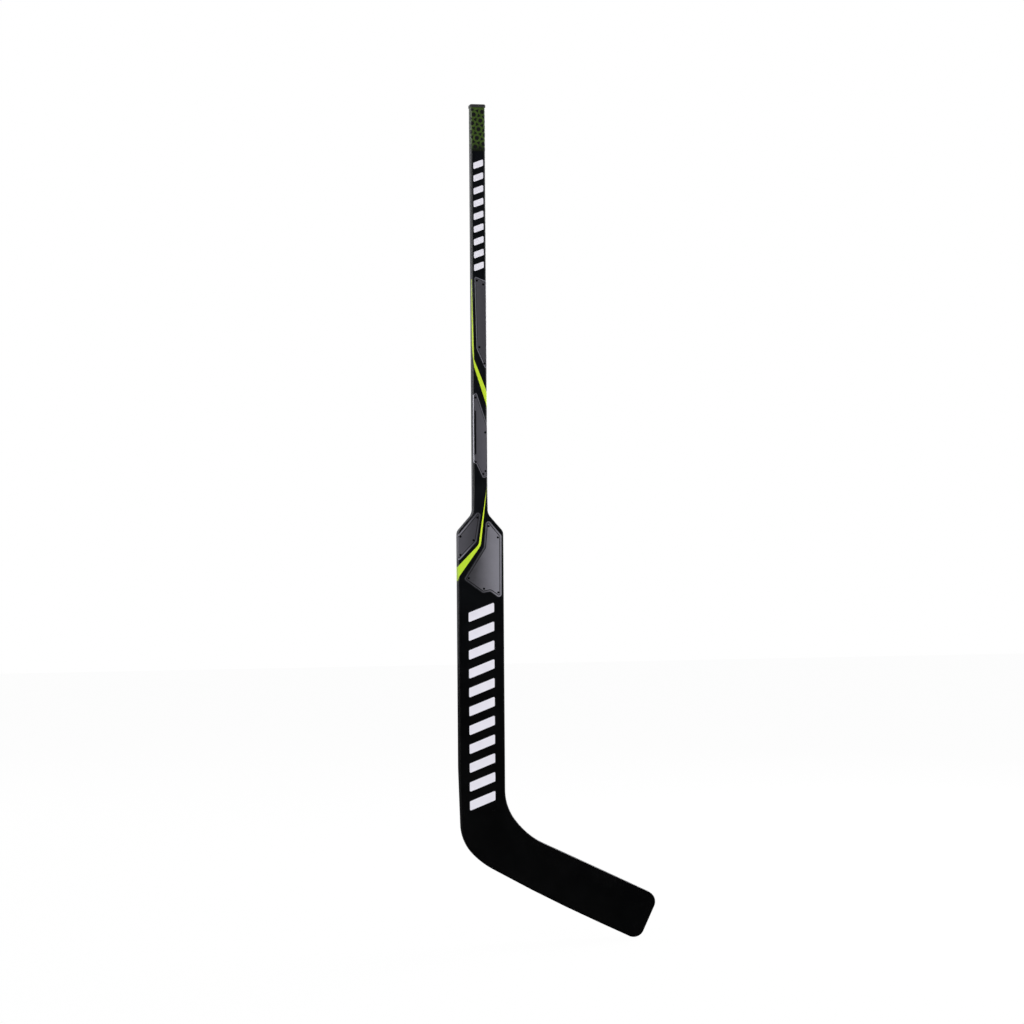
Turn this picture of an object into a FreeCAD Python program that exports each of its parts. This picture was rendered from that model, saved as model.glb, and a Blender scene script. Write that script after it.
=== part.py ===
import FreeCAD, Part
import math
import os
from FreeCAD import Vector

# Goaltender's hockey stick, stood upright: shaft along +Z, toe of the blade towards +X, playing face towards -Y.
# The origin is the middle of the hand grip, on the shaft's centre line just above the paddle's shoulder.
# Millimetres and degrees.

# Whole stick
stick_length = 1381.0           # heel corner to the top of the end cap
paddle_length = 625.0           # heel corner to the top of the shoulder
thickness = 20.0                # shaft and paddle, front to back
edge_radius = 2.0               # all long edges
grip_rise = 45.0                # shoulder top to the middle of the hand
cut_overrun = 40.0              # how far cutting shapes run past what they cut
facing_angle = 45.0             # a surface turned by less than this faces along an axis

# Shaft and end cap
shaft_width = 27.5
shaft_wall = 1.9
bore_radius = 1.2               # corners of the tube's bore
neck_length = 12.0              # shoulder top to the seam between shaft and paddle
cap_flange = 5.8
cap_overhang = 1.0
cap_round = 1.6
spigot_length = 38.0
spigot_wall = 2.2
spigot_clearance = 0.35
spigot_rib_count = 3
spigot_rib_width = 2.0
spigot_rib_height = 0.2
spigot_rib_pitch = 9.0

# Paddle and heel
paddle_width = 85.5
shoulder_drop = 33.0            # height of the sloping shoulder
shoulder_round = 6.0
heel_taper_length = 156.0       # lowest stretch of the paddle's outer edge, which leans in
heel_inset = 4.9
heel_taper_round = 400.0
heel_radius = 96.0
throat_radius = 115.0

# Blade, measured along and square to its chord from the heel corner
lie_angle = 27.6                # chord below the horizontal
blade_length = 369.5
blade_height = 89.8             # at the toe
blade_flare_angle = 1.95        # between the chord and the top edge
rocker_drop = 7.2
rocker_span_share = 0.58        # of the blade's length, taken by the ice edge's arc
toe_rake_angle = 2.3
toe_radius = 20.0
curve_start = 96.0              # the blade is flat up to here
curve_depth = 25.0              # how far the toe comes forward
toe_thickness = 12.0

# Laminate skins, cores and ribs
skin = 1.2
web = 1.6                       # laminate on each side of the spine
tenon_length = 120.0            # part of the spine that is bonded inside the shaft
glue_gap = 0.1
spine_mortise = 42.0            # part of the spine that stands in the heel block
heel_block_height = 128.0       # heel corner to the top of the block, along the paddle
heel_block_length = 112.0       # heel corner to the end of the block, along the chord
bridge = 3.0                    # rib along the blade
bridge_height_share = 0.5       # of the blade's height
bridge_mortise = 30.0
bead_height = 7.0               # hard bead along the ice edge, inside the skins

# Printed films, moulded in flush with the surface
film = 0.15
panel_corner = 5.0              # panels on the shoulder
shaft_panel_corner = 2.5
slot_corner = 0.9
bar_corner = 1.8
wrap_depth = 6.0                # how far the shaft's stripe reaches round the narrow sides
slot_width = 3.4
dot_radius = 1.5
bar_slope_angle = 21.0
shaft_bar_count = 9
paddle_bar_count = 11
round_room_share = 0.45         # of a side that a rounded corner may take
straight_share = 0.001          # least slope of a corner that is rounded
bar_height_share = 0.5          # of the step from bar to bar
shaft_bar_width_share = 0.66    # of the shaft's width
paddle_bar_width_share = 0.56   # of the paddle's width

# Print on the shaft: across in shares of half its width, down in shares of the bare shaft from the end cap
lattice_end_share = 0.11
shaft_bars_shares = (0.13, 0.417)
upper_panel_shares = ((-0.615, 0.423), (0.97, 0.435), (0.97, 0.661), (0.598, 0.651), (-0.395, 0.604))
upper_stripe_shares = ((-1.4, 0.426), (-0.871, 0.426), (-0.756, 0.633), (1.4, 0.726), (1.4, 0.763),
                       (-0.742, 0.655), (-1.4, 0.592))
lower_panel_shares = ((-0.93, 0.72), (-0.475, 0.713), (0.97, 0.797), (0.97, 0.924), (0.34, 0.926), (-0.93, 0.889))
slot_shares = ((-0.654, 0.759), (-0.654, 0.868))
stripe_tip_share = (0.862, 0.95)
upper_panel_dot_shares = ((-0.018, 0.6), (0.658, 0.641), (0.559, 0.443))
lower_panel_dot_shares = ((-0.615, 0.726), (0.698, 0.813), (-0.633, 0.887), (0.4, 0.917), (0.708, 0.91))

# Print on the paddle: across in shares of half its width, down in shares of its length from the shoulder
paddle_stripe_shares = ((0.182, 0), (0.044, 0.084), (-0.054, 0.103), (-1.2, 0.209), (-1.2, 0.169),
                        (-0.157, 0.096), (-0.078, 0.084), (0.103, 0))
heel_panel_shares = ((0.062, -0.022), (-0.187, 0.083), (-0.975, 0.144), (-1.2, 0.143), (-1.2, 0.062),
                     (-0.975, 0.061))
toe_panel_shares = ((0.248, 0.011), (0.19, 0.101), (-0.757, 0.194), (0.14, 0.234), (0.419, 0.224), (0.913, 0.254),
                    (0.927, 0.066))
heel_panel_dot_shares = ((-0.119, 0.006), (-0.909, 0.067), (-0.321, 0.078), (-0.925, 0.122))
toe_panel_dot_shares = ((0.339, 0.034), (0.743, 0.07), (-0.557, 0.19), (0.113, 0.221), (0.751, 0.234))
paddle_bars_shares = (0.263, 0.875)

# Levels along the shaft, from the hand
shoulder_z = -grip_rise
heel_z = shoulder_z - paddle_length
top_z = heel_z + stick_length
seam_z = shoulder_z + neck_length
tube_top_z = top_z - cap_flange
half_shaft = shaft_width / 2
half_paddle = paddle_width / 2
half_thickness = thickness / 2
bare_shaft = tube_top_z - seam_z
rocker_radius = rocker_span_share * (blade_length / 2) ** 2 / rocker_drop

# The blade's own directions in the XZ plane
heel_corner = Vector(heel_inset - half_paddle, 0, heel_z)
along = Vector(math.cos(math.radians(lie_angle)), 0, -math.sin(math.radians(lie_angle)))
across = Vector(math.sin(math.radians(lie_angle)), 0, math.cos(math.radians(lie_angle)))
back = Vector(0, 1, 0)
reach = stick_length + blade_length + cut_overrun


def on_blade(length, height, depth=0):
    return heel_corner + along * length + across * height + back * depth


def outline_corners():
    # the stick's front view as corners with their rounding radii, anticlockwise from the top of the heel side
    toe_top = on_blade(blade_length - blade_height * math.tan(math.radians(toe_rake_angle)), blade_height)
    top_slope = math.tan(math.radians(lie_angle - blade_flare_angle))
    throat = Vector(half_paddle, 0, toe_top.z + (toe_top.x - half_paddle) * top_slope)
    over = top_z + cut_overrun
    return [
        (Vector(-half_shaft, 0, over), 0),
        (Vector(-half_shaft, 0, shoulder_z), shoulder_round),
        (Vector(-half_paddle, 0, shoulder_z - shoulder_drop), shoulder_round),
        (Vector(-half_paddle, 0, heel_z + heel_taper_length), heel_taper_round),
        (heel_corner, heel_radius),
        (on_blade(blade_length / 2, -rocker_drop), rocker_radius),
        (on_blade(blade_length, 0), toe_radius),
        (toe_top, toe_radius),
        (throat, throat_radius),
        (Vector(half_paddle, 0, shoulder_z - shoulder_drop), shoulder_round),
        (Vector(half_shaft, 0, shoulder_z), shoulder_round),
        (Vector(half_shaft, 0, over), 0),
    ]


def turn_of(before, corner, after):
    first = (corner - before).normalize()
    second = (after - corner).normalize()
    return first.x * second.z - first.z * second.x, first, second


def shrunk(corners, inset):
    # moves every side inwards and keeps the roundings concentric
    moved = []
    count = len(corners)
    for i in range(count):
        corner, radius = corners[i]
        turn, first, second = turn_of(corners[i - 1][0], corner, corners[(i + 1) % count][0])
        first_in = Vector(-first.z, 0, first.x)
        second_in = Vector(-second.z, 0, second.x)
        inwards = (first_in + second_in) * (inset / (1 + first_in.dot(second_in)))
        change = -inset if turn > 0 else inset
        moved.append((corner + inwards, radius + change if radius else 0))
    return moved


def rounded_wire(corners):
    # straight sides joined by tangent arcs
    ends = []
    count = len(corners)
    for i in range(count):
        corner, radius = corners[i]
        turn, first, second = turn_of(corners[i - 1][0], corner, corners[(i + 1) % count][0])
        half_angle = math.acos(max(-1, min(1, first.dot(second)))) / 2
        setback = radius * math.tan(half_angle)
        middle = corner
        if radius:
            bisector = (second - first).normalize()
            middle = corner + bisector * (radius / math.cos(half_angle) - radius)
        ends.append((corner - first * setback, middle, corner + second * setback, radius))
    edges = []
    for i in range(count):
        start, middle, end, radius = ends[i]
        if radius:
            edges.append(Part.Arc(start, middle, end).toShape())
        edges.append(Part.LineSegment(end, ends[(i + 1) % count][0]).toShape())
    return Part.Wire(edges)


def prism(corners, front=-reach, rear=reach):
    wire = rounded_wire(corners)
    wire.translate(back * front)
    return Part.Face(wire).extrude(back * (rear - front))


def bent_line(level, forward):
    # one face of the blade seen along its height: straight, then an arc that comes forward at the toe
    run = blade_length + cut_overrun - curve_start
    full = blade_length - curve_start
    radius = (full * full + forward * forward) / (2 * forward)
    sweep = math.asin(run / radius)
    points = [on_blade(-reach, 0, level), on_blade(curve_start, 0, level)]
    for turned in (sweep / 2, sweep):
        forward_by = radius * (1 - math.cos(turned))
        points.append(on_blade(curve_start + radius * math.sin(turned), 0, level - forward_by))
    line = Part.LineSegment(points[0], points[1]).toShape()
    return [line, Part.Arc(points[1], points[2], points[3]).toShape()], points[0], points[3]


def slab(front, rear):
    # everything between two faces of the bent blade, each given by its level and how far it comes forward
    front_edges, front_start, front_end = bent_line(*front)
    rear_edges, rear_start, rear_end = bent_line(*rear)
    closing = [Part.LineSegment(front_start, rear_start).toShape()]
    closing.append(Part.LineSegment(front_end, rear_end).toShape())
    wire = Part.Wire(Part.__sortEdges__(front_edges + rear_edges + closing))
    wire.translate(across * -reach)
    return Part.Face(wire).extrude(across * (2 * reach))


def form(inset):
    # the stick's whole outer shape, moved inwards
    back_depth = curve_depth + thickness - toe_thickness
    front = (inset - half_thickness, curve_depth)
    rear = (half_thickness - inset, back_depth)
    body = prism(shrunk(outline_corners(), inset)).common(slab(front, rear))
    body = body.Solids[0]
    top = body.BoundBox.ZMax
    chosen = []
    for edge in body.Edges:
        faces = body.ancestorsOfType(edge, Part.Face)
        facing = [abs(face.normalAt(*middle_of(face)).y) for face in faces]
        level_end = edge.BoundBox.ZMin > top - cut_overrun / 2
        if max(facing) > math.cos(math.radians(facing_angle)) > min(facing) and not level_end:
            chosen.append(edge)
    return body.makeFillet(edge_radius - inset, chosen)


def middle_of(face):
    low_u, high_u, low_v, high_v = face.ParameterRange
    return (low_u + high_u) / 2, (low_v + high_v) / 2


def block(low, high):
    size = high - low
    return Part.makeBox(size.x, size.y, size.z, low)


def rounded_bar(width, depth, radius, low_z, high_z):
    bar = block(Vector(-width / 2, -depth / 2, low_z), Vector(width / 2, depth / 2, high_z))
    steep = math.cos(math.radians(facing_angle))
    upright = [e for e in bar.Edges if abs(e.tangentAt(e.FirstParameter).z) > steep]
    return bar.makeFillet(radius, upright)


def band(low_z, high_z):
    return block(Vector(-reach, -reach, low_z), Vector(reach, reach, high_z))


def blade_band(low, high, start, end):
    # a box in the blade's own directions
    points = [on_blade(start, low, -reach), on_blade(end, low, -reach), on_blade(end, high, -reach),
              on_blade(start, high, -reach)]
    return Part.Face(Part.makePolygon(points + points[:1])).extrude(back * (2 * reach))


def on_shaft(shares):
    across_share, down_share = shares
    return Vector(across_share * half_shaft, 0, tube_top_z - down_share * bare_shaft)


def on_paddle(shares):
    across_share, down_share = shares
    return Vector(across_share * half_paddle, 0, shoulder_z - down_share * paddle_length)


def outlined(points, radius=panel_corner):
    # a film's outline, each corner rounded as far as its two sides leave room
    corners = []
    points = points[::-1]
    for i in range(len(points)):
        before, corner, after = points[i - 1], points[i], points[(i + 1) % len(points)]
        turn, first, second = turn_of(before, corner, after)
        half_angle = math.acos(max(-1, min(1, first.dot(second)))) / 2
        room = round_room_share * min((corner - before).Length, (after - corner).Length)
        corners.append((corner, min(radius, room / max(math.tan(half_angle), straight_share))))
    return prism(corners)


def slanted_bars(count, width, top, bottom):
    slant = width * math.tan(math.radians(bar_slope_angle))
    pitch = (top - bottom) / count
    height = pitch * bar_height_share
    bars = []
    for i in range(count):
        level = top - i * pitch
        corners = [(-width / 2, level - slant), (-width / 2, level - slant - height), (width / 2, level - height),
                   (width / 2, level)]
        bars.append(prism([(Vector(x, 0, z), bar_corner) for x, z in corners]))
    return Part.makeCompound(bars)


def dot_at(centre):
    return Part.makeCylinder(dot_radius, 2 * reach, centre - back * reach, back)


def sides_only(shape):
    # leaves the middle of the narrow sides bare
    inner = half_thickness - wrap_depth
    return shape.cut(block(Vector(-reach, -inner, -reach), Vector(reach, inner, reach)))


outer = form(0)
hollow = form(skin)
film_layer = outer.cut(form(film))

bore_width = shaft_width - 2 * shaft_wall
bore_depth = thickness - 2 * shaft_wall
pieces = {}

# Films: one prism through the stick makes the front, the wrap over an edge and the back alike
dot_set = [dot_at(on_shaft(place)) for place in upper_panel_dot_shares + lower_panel_dot_shares]
dot_set += [dot_at(on_paddle(place)) for place in heel_panel_dot_shares + toe_panel_dot_shares]
dot_set = Part.makeCompound(dot_set)
slot_top, slot_end = [on_shaft(place) for place in slot_shares]
slot_side = Vector(slot_width / 2, 0, 0)
slot = outlined([slot_top - slot_side, slot_top + slot_side, slot_end + slot_side, slot_end - slot_side],
                slot_corner)
upper_panel = outlined([on_shaft(place) for place in upper_panel_shares], shaft_panel_corner)
upper_stripe = outlined([on_shaft(place) for place in upper_stripe_shares], 0)
lower_panel = outlined([on_shaft(place) for place in lower_panel_shares], shaft_panel_corner)
paddle_stripe = outlined([on_shaft(stripe_tip_share)] + [on_paddle(place) for place in paddle_stripe_shares], 0)
heel_panel = outlined([on_paddle(place) for place in heel_panel_shares])
toe_panel = outlined([on_paddle(place) for place in toe_panel_shares])
shaft_bars = slanted_bars(shaft_bar_count, shaft_bar_width_share * shaft_width,
                          *[on_shaft((0, place)).z for place in shaft_bars_shares])
paddle_bars = slanted_bars(paddle_bar_count, paddle_bar_width_share * paddle_width,
                           *[on_paddle((0, place)).z for place in paddle_bars_shares])

films = {
    "butt_lattice_film": film_layer.common(band(on_shaft((0, lattice_end_share)).z, tube_top_z)),
    "shaft_bar_films": film_layer.common(shaft_bars),
    "shaft_upper_panel_film": film_layer.common(upper_panel.cut(dot_set)),
    "shaft_stripe_film": sides_only(film_layer.common(upper_stripe)),
    "shaft_lower_panel_film": film_layer.common(lower_panel.cut(dot_set).cut(slot)),
    "paddle_stripe_film": film_layer.common(paddle_stripe),
    "shoulder_heel_panel_film": film_layer.common(heel_panel.cut(dot_set)),
    "shoulder_toe_panel_film": film_layer.common(toe_panel.cut(dot_set)),
    "panel_dot_films": film_layer.common(dot_set),
    "paddle_bar_films": film_layer.common(paddle_bars),
}
printed = Part.makeCompound([solid for shape in films.values() for solid in shape.Solids])

# Shaft: a hollow laminate tube
tube = outer.common(band(seam_z, tube_top_z))
tube = tube.cut(rounded_bar(bore_width, bore_depth, bore_radius, seam_z - cut_overrun, top_z + cut_overrun))
pieces["shaft_tube"] = tube.cut(printed)

# End cap: a flange that sits on the tube and a hollow ribbed spigot in its bore
flange = rounded_bar(shaft_width + 2 * cap_overhang, thickness + 2 * cap_overhang, edge_radius + cap_overhang,
                     tube_top_z, top_z)
flange = flange.makeFillet(cap_round, [e for e in flange.Edges if e.BoundBox.ZMin > top_z - cap_flange / 2])
spigot_width = bore_width - 2 * spigot_clearance
spigot_depth = bore_depth - 2 * spigot_clearance
spigot_radius = bore_radius - spigot_clearance
spigot_end = tube_top_z - spigot_length
spigot = rounded_bar(spigot_width, spigot_depth, spigot_radius, spigot_end, tube_top_z)
for i in range(spigot_rib_count):
    rib_z = tube_top_z - (i + 1) * spigot_rib_pitch
    spigot = spigot.fuse(rounded_bar(spigot_width + 2 * spigot_rib_height, spigot_depth + 2 * spigot_rib_height,
                                     spigot_radius + spigot_rib_height, rib_z - spigot_rib_width, rib_z))
hollow_width = spigot_width - 2 * spigot_wall
hollow_depth = spigot_depth - 2 * spigot_wall
spigot_bore = block(Vector(-hollow_width / 2, -hollow_depth / 2, spigot_end - cut_overrun),
                    Vector(hollow_width / 2, hollow_depth / 2, tube_top_z))
pieces["end_cap"] = flange.fuse(spigot.cut(spigot_bore)).removeSplitter()

# Paddle and blade: two laminate skins that meet along the middle of every edge
shell = outer.common(band(-reach, seam_z)).cut(hollow).cut(printed)
middle_forward = curve_depth + (thickness - toe_thickness) / 2
front_half = slab((-reach / 2, curve_depth), (0, middle_forward))
pieces["front_skin"] = shell.common(front_half)
pieces["back_skin"] = shell.cut(front_half)

# Inside: the spine runs from the heel block up through the paddle and into the shaft
inside = hollow.common(band(-reach, seam_z))
spine_foot = heel_z + heel_block_height - spine_mortise
spine_width = shaft_width - 2 * skin - 2 * web
spine_depth = thickness - 2 * skin
lower_spine = inside.common(block(Vector(-spine_width / 2, -spine_depth / 2, spine_foot),
                                  Vector(spine_width / 2, spine_depth / 2, seam_z)))
tenon = rounded_bar(bore_width - 2 * glue_gap, bore_depth - 2 * glue_gap, bore_radius - glue_gap, seam_z,
                    seam_z + tenon_length)
pieces["spine"] = lower_spine.fuse(tenon).removeSplitter()

# Heel block: fills the corner between paddle and blade
heel_zone = band(-reach, heel_z + heel_block_height).cut(blade_band(-reach, reach, heel_block_length, reach))
upper_zone = band(heel_z + heel_block_height, seam_z)
blade_zone = blade_band(-reach, reach, heel_block_length, reach).common(band(-reach, heel_z + heel_block_height))
bridge_level = bridge_height_share * blade_height
rib = blade_band(bridge_level - bridge / 2, bridge_level + bridge / 2, heel_block_length - bridge_mortise, reach)
web_zones = {
    "spine_web_heel_side": block(Vector(-spine_width / 2 - web, -spine_depth / 2, spine_foot),
                                 Vector(-spine_width / 2, spine_depth / 2, seam_z)),
    "spine_web_toe_side": block(Vector(spine_width / 2, -spine_depth / 2, spine_foot),
                                Vector(spine_width / 2 + web, spine_depth / 2, seam_z)),
}
stems = lower_spine.fuse(list(web_zones.values()))
for name, zone in web_zones.items():
    pieces[name] = inside.common(zone)
heel_side = block(Vector(-reach, -reach, -reach), Vector(0, reach, reach))
pieces["heel_block"] = inside.common(heel_zone).cut(stems).cut(rib)
pieces["paddle_core_heel_side"] = inside.common(upper_zone).cut(stems).common(heel_side)
pieces["paddle_core_toe_side"] = inside.common(upper_zone).cut(stems).cut(heel_side)

# Blade: foam above and below a laminate rib, and a hard bead along the ice edge
bead_corners = shrunk(outline_corners(), skin + bead_height)
bead_zone = blade_zone.cut(prism(bead_corners)).common(blade_band(-reach, bridge_level, 0, reach))
pieces["ice_edge_bead"] = inside.common(bead_zone).cut(rib)
pieces["blade_rib"] = inside.common(rib)
pieces["blade_core_upper"] = inside.common(blade_zone).cut(rib).common(blade_band(bridge_level, reach, 0, reach))
pieces["blade_core_lower"] = inside.common(blade_zone).cut(rib).common(blade_band(-reach, bridge_level, 0, reach))
pieces["blade_core_lower"] = pieces["blade_core_lower"].cut(bead_zone)
pieces.update(films)

os.makedirs("parts", exist_ok=True)
for name, shape in pieces.items():
    solids = shape.Solids
    result = solids[0] if len(solids) == 1 else Part.makeCompound(solids)
    result.exportStep(f"parts/{name}.step")
    print(name, len(solids), "solids", round(sum(s.Volume for s in solids) / 1000, 2), "cm3", result.isValid())
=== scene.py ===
import bpy
import math
from mathutils import Matrix, Vector


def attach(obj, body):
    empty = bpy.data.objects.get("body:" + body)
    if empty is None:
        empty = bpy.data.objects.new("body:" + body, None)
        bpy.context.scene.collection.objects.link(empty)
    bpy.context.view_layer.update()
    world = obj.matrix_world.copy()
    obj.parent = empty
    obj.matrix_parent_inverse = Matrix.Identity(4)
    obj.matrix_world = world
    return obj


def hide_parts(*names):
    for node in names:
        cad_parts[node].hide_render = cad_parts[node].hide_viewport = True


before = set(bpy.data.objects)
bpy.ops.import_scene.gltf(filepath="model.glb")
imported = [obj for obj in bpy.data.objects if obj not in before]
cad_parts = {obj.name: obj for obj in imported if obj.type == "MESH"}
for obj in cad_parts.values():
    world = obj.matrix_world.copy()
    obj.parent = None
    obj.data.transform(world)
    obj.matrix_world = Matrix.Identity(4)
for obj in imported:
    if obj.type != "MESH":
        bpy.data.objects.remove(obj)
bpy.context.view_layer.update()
print("frame loaded with", len(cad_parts), "nodes")

mm = 0.001
weldGap = 0.02                  # mm, corners closer than this become one
nearby = 0.1                    # mm, for telling which level a corner is on
levelLean = 0.9                 # a face whose normal has this much of an axis looks along it
stick = {                       # sizes in mm
    "halfShaft": 13.75,
    "halfPaddle": 42.75,
    "halfDepth": 10.0,
    "edge": 2.0,                # rounding of the paddle's and the blade's edges
    "shaftEdge": 3.3,           # the shaft's are rounder
    "edgeRun": 30.0,            # and run out to the paddle's over this length above the seam
    "bendSteps": 7,             # facets round an edge in a print that wraps it
    "seam": -33.0,              # where the paddle's skins meet the tube
    "tubeTop": 705.2,
    "shoulder": -45.0,
    "shoulderEnd": -78.0,
    "heel": -670.0,
    "wall": 1.9,
    "skin": 1.2,
}
stick["bareShaft"] = stick["tubeTop"] - stick["seam"]
stick["paddleLength"] = stick["shoulder"] - stick["heel"]


def srgb(*parts):
    return tuple((p / 255 / 12.92 if p < 10 else ((p / 255 + 0.055) / 1.055) ** 2.4) for p in parts) + (1.0,)


class Signal:                   # a shader value that takes part in sums
    def __init__(self, tree, socket):
        self.tree = tree
        self.socket = socket

    def maths(self, operation, first, second=None):
        node = self.tree.nodes.new("ShaderNodeMath")
        node.operation = operation
        for place, value in enumerate((first, second)):
            if isinstance(value, Signal):
                self.tree.links.new(value.socket, node.inputs[place])
            elif value is not None:
                node.inputs[place].default_value = value
        return Signal(self.tree, node.outputs[0])

    def __add__(self, other):
        return self.maths("ADD", self, other)

    def __radd__(self, other):
        return self.maths("ADD", other, self)

    def __sub__(self, other):
        return self.maths("SUBTRACT", self, other)

    def __rsub__(self, other):
        return self.maths("SUBTRACT", other, self)

    def __mul__(self, other):
        return self.maths("MULTIPLY", self, other)

    def __rmul__(self, other):
        return self.maths("MULTIPLY", other, self)

    def cosine(self):
        return self.maths("COSINE", self)


class Finish:                   # one procedural finish: its nodes and its surface
    def __init__(self, name, tree=None):
        if tree is None:
            self.material = bpy.data.materials.new(name)
            self.material.use_nodes = True
            tree = self.material.node_tree
            self.surface = tree.nodes["Principled BSDF"]
        self.tree = tree

    def feed(self, socket, value):
        if isinstance(value, Signal):
            self.tree.links.new(value.socket, socket)
        else:
            socket.default_value = value

    def add(self, kind, settings, sockets, out=0):
        node = self.tree.nodes.new(kind)
        for key, value in settings.items():
            setattr(node, key, value)
        for key, value in sockets.items():
            self.feed(node.inputs[key], value)
        return Signal(self.tree, node.outputs[out])

    def spot(self, stretched=(1, 1, 1)):
        place = self.add("ShaderNodeTexCoord", {}, {}, "Object")
        return self.add("ShaderNodeMapping", {}, {"Vector": place, "Scale": stretched})

    def along(self, axis, place=None):
        place = place or self.add("ShaderNodeTexCoord", {}, {}, "Object")
        return self.add("ShaderNodeSeparateXYZ", {}, {"Vector": place}, axis)

    def noise(self, scale, detail=3.0, stretched=(1, 1, 1), rough=0.5):
        sockets = {"Vector": self.spot(stretched), "Scale": scale, "Detail": detail, "Roughness": rough}
        return self.add("ShaderNodeTexNoise", {}, sockets)

    def ramp(self, value, low, high, bottom=0.0, top=1.0):
        sockets = {"Value": value, "From Min": low, "From Max": high, "To Min": bottom, "To Max": top}
        return self.add("ShaderNodeMapRange", {"interpolation_type": "SMOOTHSTEP"}, sockets)

    def blend(self, share, first, second):
        return self.add("ShaderNodeMix", {"data_type": "RGBA"}, {0: share, 6: first, 7: second}, 2)

    def rayKinds(self):
        # whether a ray comes from the camera, through glass or off a glossy surface
        return [self.add("ShaderNodeLightPath", {}, {}, name)
                for name in ("Is Camera Ray", "Is Transmission Ray", "Is Glossy Ray")]

    def relief(self, height, strength, depth):
        return self.add("ShaderNodeBump", {}, {"Height": height, "Strength": strength, "Distance": depth})

    def coat(self, **sockets):
        for key, value in sockets.items():
            self.feed(self.surface.inputs[key.replace("_", " ")], value)
        return self.material


fades = {                       # metres above the grip between which a finish changes
    # the black paint's painted sheen: it gets lighter from the paddle up to the grip
    "paint": (-0.45, 0.0),
    "limeShoulder": (-0.135, -0.085),
    "limeShaft": (-0.03, 0.08),
    "lattice": (0.622, 0.643),
}


def blackPaint():
    paint = Finish("blackPaint")
    cloud = paint.noise(16, 4)
    grain = paint.noise(900, 2)
    haze = paint.noise(55, 5, rough=0.6)
    # painted sheen: the black is made lighter and cooler up the stick, where the shaft catches more light;
    # the cloud mottle is the paint's own tone
    level = paint.ramp(paint.along("Z"), *fades["paint"])   # a little lighter and cooler up the stick
    deep = paint.blend(level, srgb(1, 1, 2), srgb(5, 7, 10))
    mottleAndPaintedSheen = paint.blend(level, srgb(4, 4, 5), srgb(12, 14, 18))
    return paint.coat(Base_Color=paint.blend(paint.ramp(cloud, 0.3, 0.7), deep, mottleAndPaintedSheen),
                      Roughness=0.24 + 0.12 * haze, Coat_Weight=0.15 + 0.2 * haze, Coat_Roughness=0.08,
                      Specular_IOR_Level=0.32, Normal=paint.relief(grain, 0.05, 0.0003))


def greyPrintAndSheen(name, dark, light, start, end, speckle=0.35):
    # satin grey print with fine flakes in it; a painted sheen takes it from dark to light across the stick,
    # lighter where a panel catches the light
    paint = Finish(name)
    paintedSheen = paint.ramp(paint.along("X"), start, end)
    flake = paint.noise(2300, 2)
    patch = paint.noise(45, 3)
    share = paintedSheen + (flake - 0.5) * speckle + (patch - 0.5) * 0.25
    return paint.coat(Base_Color=paint.blend(share, dark, light), Metallic=0.12 + 0.2 * flake,
                      Roughness=0.34 + 0.12 * patch, Coat_Weight=0.2, Coat_Roughness=0.12,
                      Specular_IOR_Level=0.4, Normal=paint.relief(flake, 0.06, 0.0002))


def limePrint():
    paint = Finish("limePrint")
    level = paint.ramp(paint.along("Z"), *fades["limeShoulder"])
    patch = paint.noise(70, 3)
    tint = paint.blend(level, srgb(181, 214, 48), srgb(208, 232, 46))
    tint = paint.blend(paint.ramp(paint.along("Z"), *fades["limeShaft"]), tint, srgb(187, 212, 46))
    return paint.coat(Base_Color=paint.blend(0.3 * patch, tint, srgb(168, 203, 52)),
                      Roughness=0.28 + 0.1 * patch, Coat_Weight=0.25, Coat_Roughness=0.08,
                      Specular_IOR_Level=0.35, Normal=paint.relief(paint.noise(900, 2), 0.04, 0.0002))


def palePrint():
    paint = Finish("palePrint")
    patch = paint.noise(60, 4)
    fleck = paint.noise(1900, 2)
    tint = paint.blend(patch, srgb(216, 214, 225), srgb(228, 226, 235))
    return paint.coat(Base_Color=paint.blend(paint.ramp(fleck, 0.6, 0.8, 0, 0.15), tint, srgb(180, 178, 190)),
                      Roughness=0.3 + 0.1 * patch, Coat_Weight=0.2, Coat_Roughness=0.1,
                      Normal=paint.relief(fleck, 0.04, 0.0002))


def darkPrint(name, level, shine):
    paint = Finish(name)
    patch = paint.noise(400, 3)
    light = level + 9
    tint = paint.blend(patch, srgb(level, level, level + 1), srgb(light, light, light + 2))
    return paint.coat(Base_Color=tint, Roughness=0.4 + 0.15 * patch, Specular_IOR_Level=shine)


def latticePrint():
    paint = Finish("latticePrint")
    fade = paint.ramp(paint.along("Z"), *fades["lattice"])
    cloud = paint.noise(120, 3)
    green = paint.blend(cloud, srgb(42, 58, 20), srgb(66, 89, 33))
    dark = paint.blend(paint.noise(300, 3), srgb(6, 7, 5), srgb(14, 15, 12))
    return paint.coat(Base_Color=paint.blend(fade, dark, green), Roughness=0.28 + 0.1 * cloud,
                      Coat_Weight=0.25, Coat_Roughness=0.08, Specular_IOR_Level=0.35)


def capPlastic():
    paint = Finish("capPlastic")
    pebble = paint.noise(1500, 3)
    patch = paint.noise(90, 3)
    return paint.coat(Base_Color=paint.blend(patch, srgb(32, 32, 34), srgb(45, 45, 47)),
                      Roughness=0.48 + 0.16 * pebble, Specular_IOR_Level=0.45,
                      Normal=paint.relief(pebble, 0.25, 0.0003))


def wovenLaminate():
    paint = Finish("wovenLaminate")
    tow = 2 * math.pi / 0.004   # one weft and one warp in 4 mm
    weave = (paint.along("Z") * tow).cosine() * ((paint.along("X") + paint.along("Y")) * tow).cosine()
    over = paint.ramp(weave, -0.2, 0.2)
    thread = paint.noise(1400, 2, (1, 1, 0.15))
    return paint.coat(Base_Color=paint.blend(over * 0.7 + thread * 0.3, srgb(24, 25, 27), srgb(62, 64, 68)),
                      Roughness=0.3 + 0.2 * over, Normal=paint.relief(weave, 0.3, 0.0004))


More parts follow.
